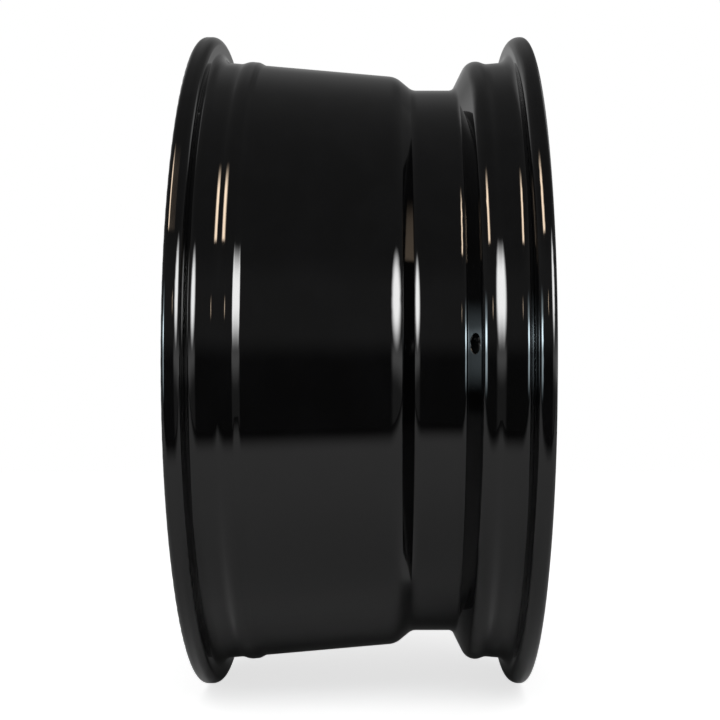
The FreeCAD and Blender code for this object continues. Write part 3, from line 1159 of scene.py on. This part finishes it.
@dataclass(frozen=True)
class Studio:
    """The dim room, the pale floor, the panels and the camera, in metres and degrees.

    The window stands in a direction beside the camera, a step towards inboard and a height above the axle.
    """

    room: DimRoom = DimRoom()
    camera: SideCamera = SideCamera()
    floor_finish: PaleFloorFinish = PaleFloorFinish()
    floor_front: float = 0.56
    floor_side: float = 4.0
    floor_back: float = 4.0
    window_azimuth: float = 41.0
    window_distance: float = 1.8
    window_step: float = 0.10
    window_height: float = 0.645
    blue_azimuth: float = -57.5

    def build_floor(self) -> bpy.types.Object:
        """Make the pale floor under the wheel, with its front edge short of the camera.

        Returns:
            The floor object.
        """
        bpy.ops.object.select_all(action="DESELECT")
        level = CAD_BOUNDS[0][2]
        bpy.ops.mesh.primitive_plane_add(size=1.0)
        floor = bpy.context.active_object
        floor.name = "floor"
        floor.scale = (self.floor_front + self.floor_back, 2 * self.floor_side, 1.0)
        floor.location = ((self.floor_back - self.floor_front) / 2, 0.0, level)
        bpy.ops.object.transform_apply(location=True, rotation=True, scale=True)
        floor.data.materials.append(self.floor_finish.build())
        return floor

    def window(self) -> SoftPanel:
        """The white window, which makes the long white streaks.

        Returns:
            The panel.
        """
        ahead = Vector(studio_point(self.window_azimuth, 0.0, self.window_distance))
        step = Vector(studio_point(self.window_azimuth - RIGHT_ANGLE, 0.0, self.window_step))
        return SoftPanel(
            name="white_window_panel",
            centre=tuple(ahead + step + Vector(UP) * self.window_height),
            facing=tuple(-ahead),
            size=(1.74, 1.31),
            colour=WHITE,
            radiance=20.0,
            face=PanelFace.OVAL,
            middle=0.46,
            oval_fade=0.70,
        )

    def warm_panels(self) -> list[SoftPanel]:
        """The warm lights, which make the short warm streaks near the top.

        Returns:
            The ceiling's panel and a small lamp.
        """
        ceiling = SoftPanel(
            name="warm_ceiling_panel",
            centre=(-1.19, 0.73, 1.5),
            facing=DOWN,
            upward=(0.963, -0.27, 0.0),
            size=(1.0, 1.38),
            colour=WARM,
            radiance=23.0,
            fade=(0.45, 0.35, 0.11, 0.32),
            taper=0.5,
        )
        lamp = SoftPanel.towards_wheel(
            azimuth=-5.5,
            elevation=14.6,
            distance=1.8,
            name="small_warm_lamp",
            size=(0.17, 0.30),
            colour=WARM,
            radiance=12.0,
            face=PanelFace.OVAL,
            oval_fade=0.9,
        )
        return [ceiling, lamp]

    def side_panels(self) -> list[SoftPanel]:
        """The bluish and pale lights beside and behind the wheel.

        Returns:
            The inboard side's panel and its bright core, and one panel behind at each side.
        """
        blue = SoftPanel.towards_wheel(
            azimuth=self.blue_azimuth,
            elevation=3.0,
            distance=1.7,
            name="blue_side_panel",
            size=(0.66, 0.95),
            colour=BLUE,
            radiance=7.0,
            fade=(0.25, 0.25, 0.35, 0.4),
        )
        core = SoftPanel.towards_wheel(
            azimuth=self.blue_azimuth,
            elevation=5.4,
            distance=1.6,
            name="blue_side_lamp",
            size=(0.62, 0.32),
            colour=BLUE,
            radiance=20.0,
            face=PanelFace.OVAL,
            oval_fade=0.8,
        )
        inboard_rear = SoftPanel.towards_wheel(
            azimuth=-127.0,
            elevation=4.0,
            distance=1.8,
            name="blue_rear_panel",
            size=(0.9, 0.7),
            colour=PALE_BLUE,
            radiance=2.2,
            fade=(0.4, 0.4, 0.4, 0.4),
        )
        outboard_rear = SoftPanel.towards_wheel(
            azimuth=128.0,
            elevation=30.0,
            distance=2.0,
            name="pale_rear_panel",
            size=(1.2, 1.2),
            colour=WHITE,
            radiance=0.6,
            fade=(0.35, 0.35, 0.35, 0.35),
        )
        return [blue, core, inboard_rear, outboard_rear]

    def softboxes(self) -> list[SoftPanel]:
        """The lights that only matt surfaces show, for the floor.

        Returns:
            The overhead and the front softbox.
        """
        overhead = SoftPanel(
            name="overhead_softbox",
            centre=(-0.3, 0.0, 1.6),
            facing=DOWN,
            upward=BACK,
            size=(1.2, 1.2),
            colour=WHITE,
            radiance=1.2,
            reach=PanelReach.MATT,
        )
        front = SoftPanel(
            name="front_softbox",
            centre=(-1.3, 0.0, 1.1),
            facing=(1.1, 0.0, -1.3),
            size=(1.8, 1.0),
            colour=WHITE,
            radiance=3.5,
            reach=PanelReach.MATT,
        )
        return [overhead, front]

    def build(self) -> list[bpy.types.Object]:
        """Make the whole studio.

        Returns:
            The floor, the lights and the camera.
        """
        self.room.build()
        floor = self.build_floor()
        panels = [self.window(), *self.warm_panels(), *self.side_panels(), *self.softboxes()]
        lights = [panel.build() for panel in panels]
        return [floor, *lights, self.camera.build()]


def main() -> None:
    """Build the wheel and its studio, and log each piece."""
    logging.basicConfig(level=logging.INFO, format="%(message)s")
    casting = CastWheel().build()
    log.info("%s: finished, %d faces", casting.name, len(casting.data.polygons))
    for item in Studio().build():
        log.info("%s: added to the studio", item.name)
    bpy.context.scene.view_settings.view_transform = "Standard"


if __name__ == "__main__":
    main()
